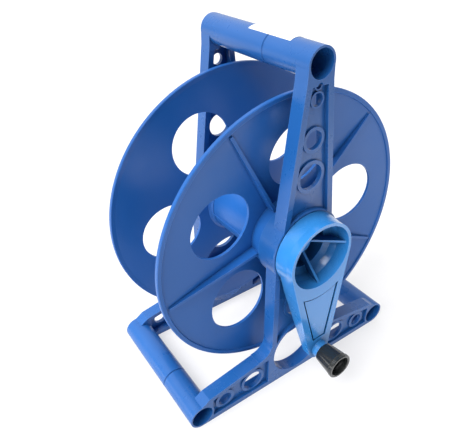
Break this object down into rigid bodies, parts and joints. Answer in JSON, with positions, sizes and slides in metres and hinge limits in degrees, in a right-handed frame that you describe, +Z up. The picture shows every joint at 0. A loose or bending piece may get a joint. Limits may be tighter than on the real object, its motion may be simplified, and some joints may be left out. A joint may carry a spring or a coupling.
{
  "type": "line storage reel",
  "caption": "Hand-cranked line reel: two dished flanges with round holes on a drum, in a moulded plastic frame with a tube handle, base tubes and a cup-shaped crank.",
  "frame": {"origin": "centre of the whole reel's footprint, on the surface it stands on", "axes": "+X along the base bars, +Y along the axle away from the crank, +Z up"},
  "size_m": [0.3, 0.2175, 0.3731],
  "materials": {
    "blue_plastic": "semi-gloss moulded polypropylene, mid blue",
    "crank_plastic": "glossier moulded plastic, brighter blue",
    "sleeve_plastic": "plain moulded plastic, darker blue",
    "black_plastic": "glossy black moulded plastic",
    "steel": "zinc-plated steel",
    "label_paper": "blank white coated paper label"
  },
  "bodies": {
    "frame": {"near_side_frame": "blue_plastic", "far_side_frame": "blue_plastic", "handle_sleeve": "sleeve_plastic", "left_base_sleeve": "sleeve_plastic", "right_base_sleeve": "sleeve_plastic", "handle_joint_screws": "steel", "left_base_joint_screws": "steel", "right_base_joint_screws": "steel", "handle_label": "label_paper"},
    "reel": {"near_flange": "blue_plastic", "far_flange": "blue_plastic", "drum_core": "blue_plastic", "crank": "crank_plastic", "crank_nut": "steel", "axle_bolt": "steel", "axle_washer": "steel", "far_hub_cap": "crank_plastic", "knob_screw": "steel", "knob_washer": "steel"},
    "knob": {"crank_knob": "black_plastic"}
  },
  "joints": [
    {"name": "reel_spin", "type": "hinge", "parent": "frame", "child": "reel", "pos_m": [0, 0.02475, 0.18], "axis": [0, 1, 0], "continuous": true},
    {"name": "knob_spin", "type": "hinge", "parent": "reel", "child": "knob", "pos_m": [0.00952, -0.09575, 0.05035], "axis": [0, 1, 0], "continuous": true}
  ]
}
